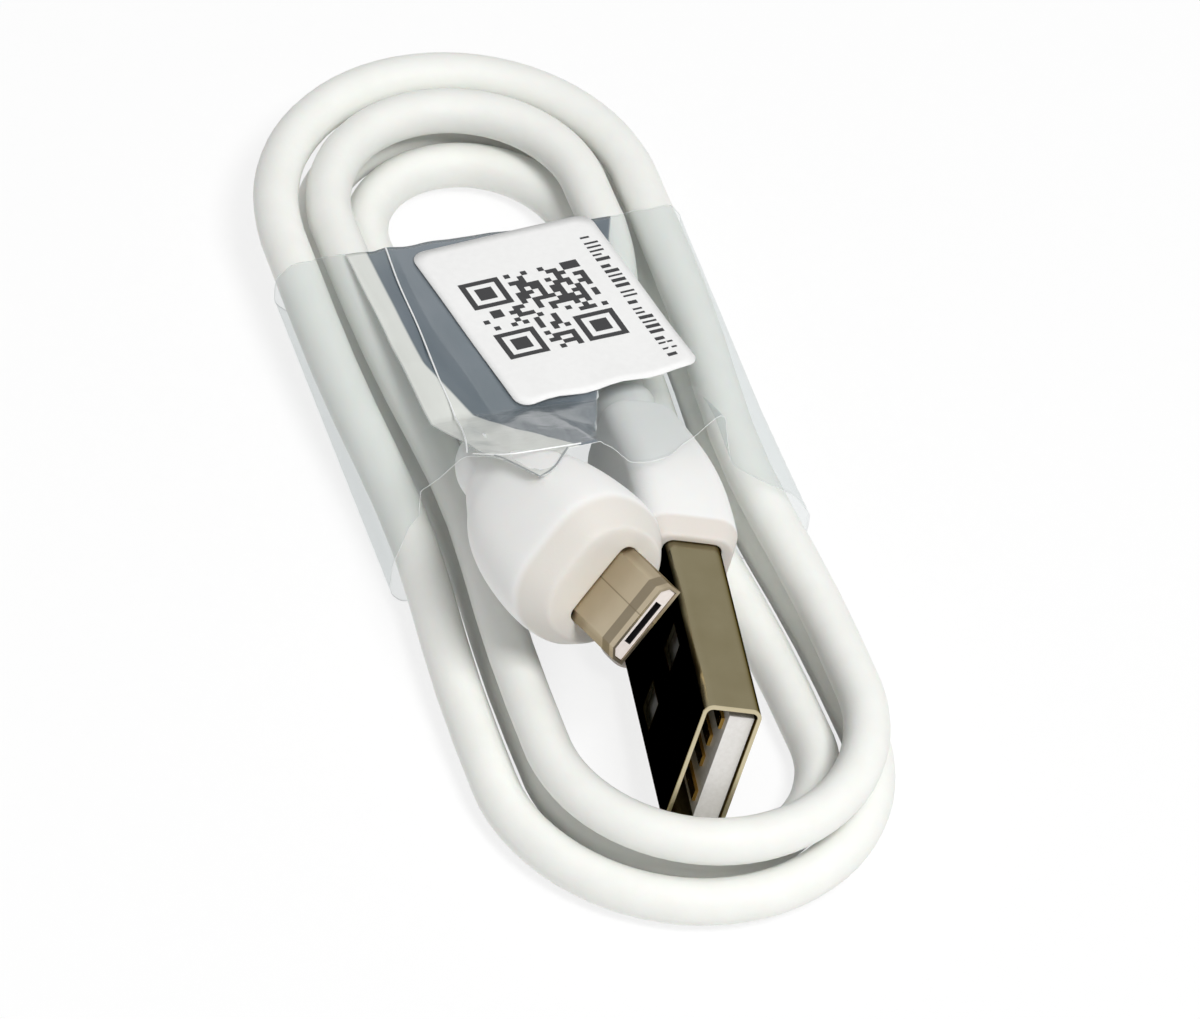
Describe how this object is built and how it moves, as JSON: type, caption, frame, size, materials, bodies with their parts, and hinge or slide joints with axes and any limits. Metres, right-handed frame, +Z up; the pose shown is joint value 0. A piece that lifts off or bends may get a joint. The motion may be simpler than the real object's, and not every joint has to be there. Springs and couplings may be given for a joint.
{
  "type": "charging cable",
  "caption": "USB-A to micro-USB charging cable wound into a long flat hank, both plugs lying inside the loop, held by a clear film band with a label.",
  "frame": {"origin": "on the underside of the film band, under the middle of the hank, on the surface the part rests on", "axes": "+Z up; +X along the hank to the end where the plug noses lie; +Y across the hank"},
  "size_m": [0.0884, 0.0328, 0.0226],
  "materials": {
    "cable_jacket": "satin white TPE jacket",
    "clear_film": "clear polypropylene packing film",
    "core_black": "insulated core",
    "core_green": "insulated core",
    "core_red": "insulated core",
    "core_white": "insulated core",
    "gold_contacts": "gold flash over copper",
    "grip_plastic": "moulded white TPE grip",
    "ivory_insulator": "moulded LCP",
    "label_paper": "matt white adhesive label",
    "latch_steel": "spring steel",
    "micro_steel": "nickel-plated stamped steel",
    "nickel_shell": "nickel-plated drawn steel",
    "solder": "tin solder",
    "white_insulator": "moulded PBT"
  },
  "bodies": {
    "cable": {"cable_hank": "cable_jacket", "cable_lead_usb_a": "cable_jacket", "cable_lead_micro": "cable_jacket", "usb_a_shell": "nickel_shell", "usb_a_insulator": "white_insulator", "usb_a_contacts": "gold_contacts", "usb_a_solder": "solder", "usb_a_rear_shield": "nickel_shell", "usb_a_jacket_end": "cable_jacket", "usb_a_wire_red": "core_red", "usb_a_wire_white": "core_white", "usb_a_wire_green": "core_green", "usb_a_wire_black": "core_black", "usb_a_overmould": "grip_plastic", "micro_shell": "micro_steel", "micro_insulator": "ivory_insulator", "micro_contacts": "gold_contacts", "micro_solder": "solder", "micro_rear_shield": "micro_steel", "micro_jacket_end": "cable_jacket", "micro_wire_red": "core_red", "micro_wire_white": "core_white", "micro_wire_green": "core_green", "micro_wire_black": "core_black", "micro_overmould": "grip_plastic", "film_band": "clear_film", "label": "label_paper"},
    "left_hook": {"micro_latch_left": "latch_steel"},
    "right_hook": {"micro_latch_right": "latch_steel"}
  },
  "joints": [
    {"name": "left_hook_press", "type": "hinge", "parent": "cable", "child": "left_hook", "pos_m": [0.02188, -0.00423, 0.01812], "axis": [0.2908, -0.6859, -0.6671], "range_deg": [0, 4.5], "stiffness_Nm_per_rad": 0.05},
    {"name": "right_hook_press", "type": "hinge", "parent": "cable", "child": "right_hook", "pos_m": [0.02336, -0.00773, 0.01472], "axis": [0.2908, -0.6859, -0.6671], "range_deg": [0, 4.5], "stiffness_Nm_per_rad": 0.05}
  ]
}
